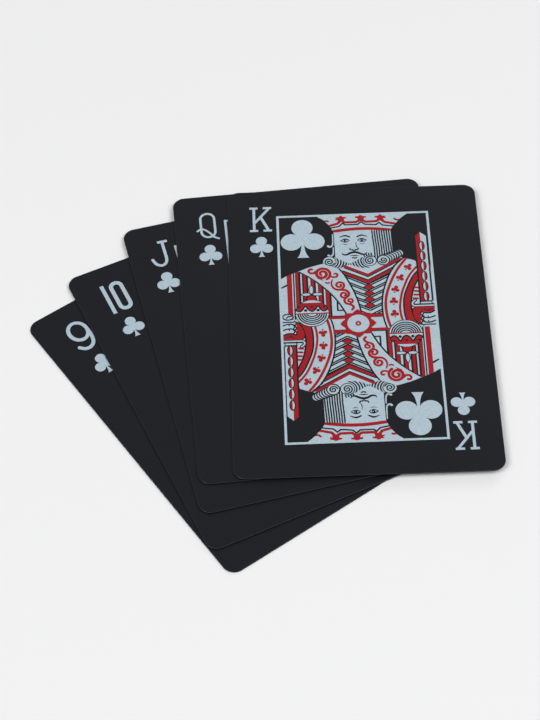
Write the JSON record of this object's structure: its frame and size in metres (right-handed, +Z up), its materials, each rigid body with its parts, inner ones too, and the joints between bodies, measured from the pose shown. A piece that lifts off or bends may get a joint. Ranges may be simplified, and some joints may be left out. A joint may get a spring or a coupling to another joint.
{
  "type": "playing card fan",
  "caption": "Fan of poker-size plastic playing cards, nine to king of clubs, white and red print on black; each card turns on the one below, so the fan opens wide or squares up.",
  "frame": {"origin": "bottom centre of the fan's box, on the surface that the lowest card lies on", "axes": "+Z up out of the cards' faces, +Y up the king's long side, +X to the king's right"},
  "size_m": [0.1118, 0.115, 0.0018],
  "materials": {
    "card_stock": "satin black plastic with a fine linen-like grain",
    "white_ink": "matt cool white screen ink",
    "red_ink": "matt red screen ink"
  },
  "bodies": {
    "nine": {"card_nine": "card_stock", "nine_print": "white_ink"},
    "ten": {"card_ten": "card_stock", "ten_print": "white_ink"},
    "jack": {"card_jack": "card_stock", "jack_print": "white_ink", "jack_red_print": "red_ink"},
    "queen": {"card_queen": "card_stock", "queen_print": "white_ink", "queen_red_print": "red_ink"},
    "king": {"card_king": "card_stock", "king_print": "white_ink", "king_red_print": "red_ink"}
  },
  "joints": [
    {"name": "ten_turn", "type": "hinge", "parent": "nine", "child": "ten", "pos_m": [0.02485, -0.0303, 0.00035], "axis": [0, 0, -1], "range_deg": [-10.24, 20]},
    {"name": "jack_turn", "type": "hinge", "parent": "ten", "child": "jack", "pos_m": [0.03782, -0.03674, 0.00072], "axis": [0, 0, -1], "range_deg": [-10.87, 20]},
    {"name": "queen_turn", "type": "hinge", "parent": "jack", "child": "queen", "pos_m": [0.03771, -0.03584, 0.00109], "axis": [0, 0, -1], "range_deg": [-8.72, 20]},
    {"name": "king_turn", "type": "hinge", "parent": "queen", "child": "king", "pos_m": [0.00201, -0.14662, 0.00146], "axis": [0, 0, -1], "range_deg": [-4.03, 8]}
  ]
}
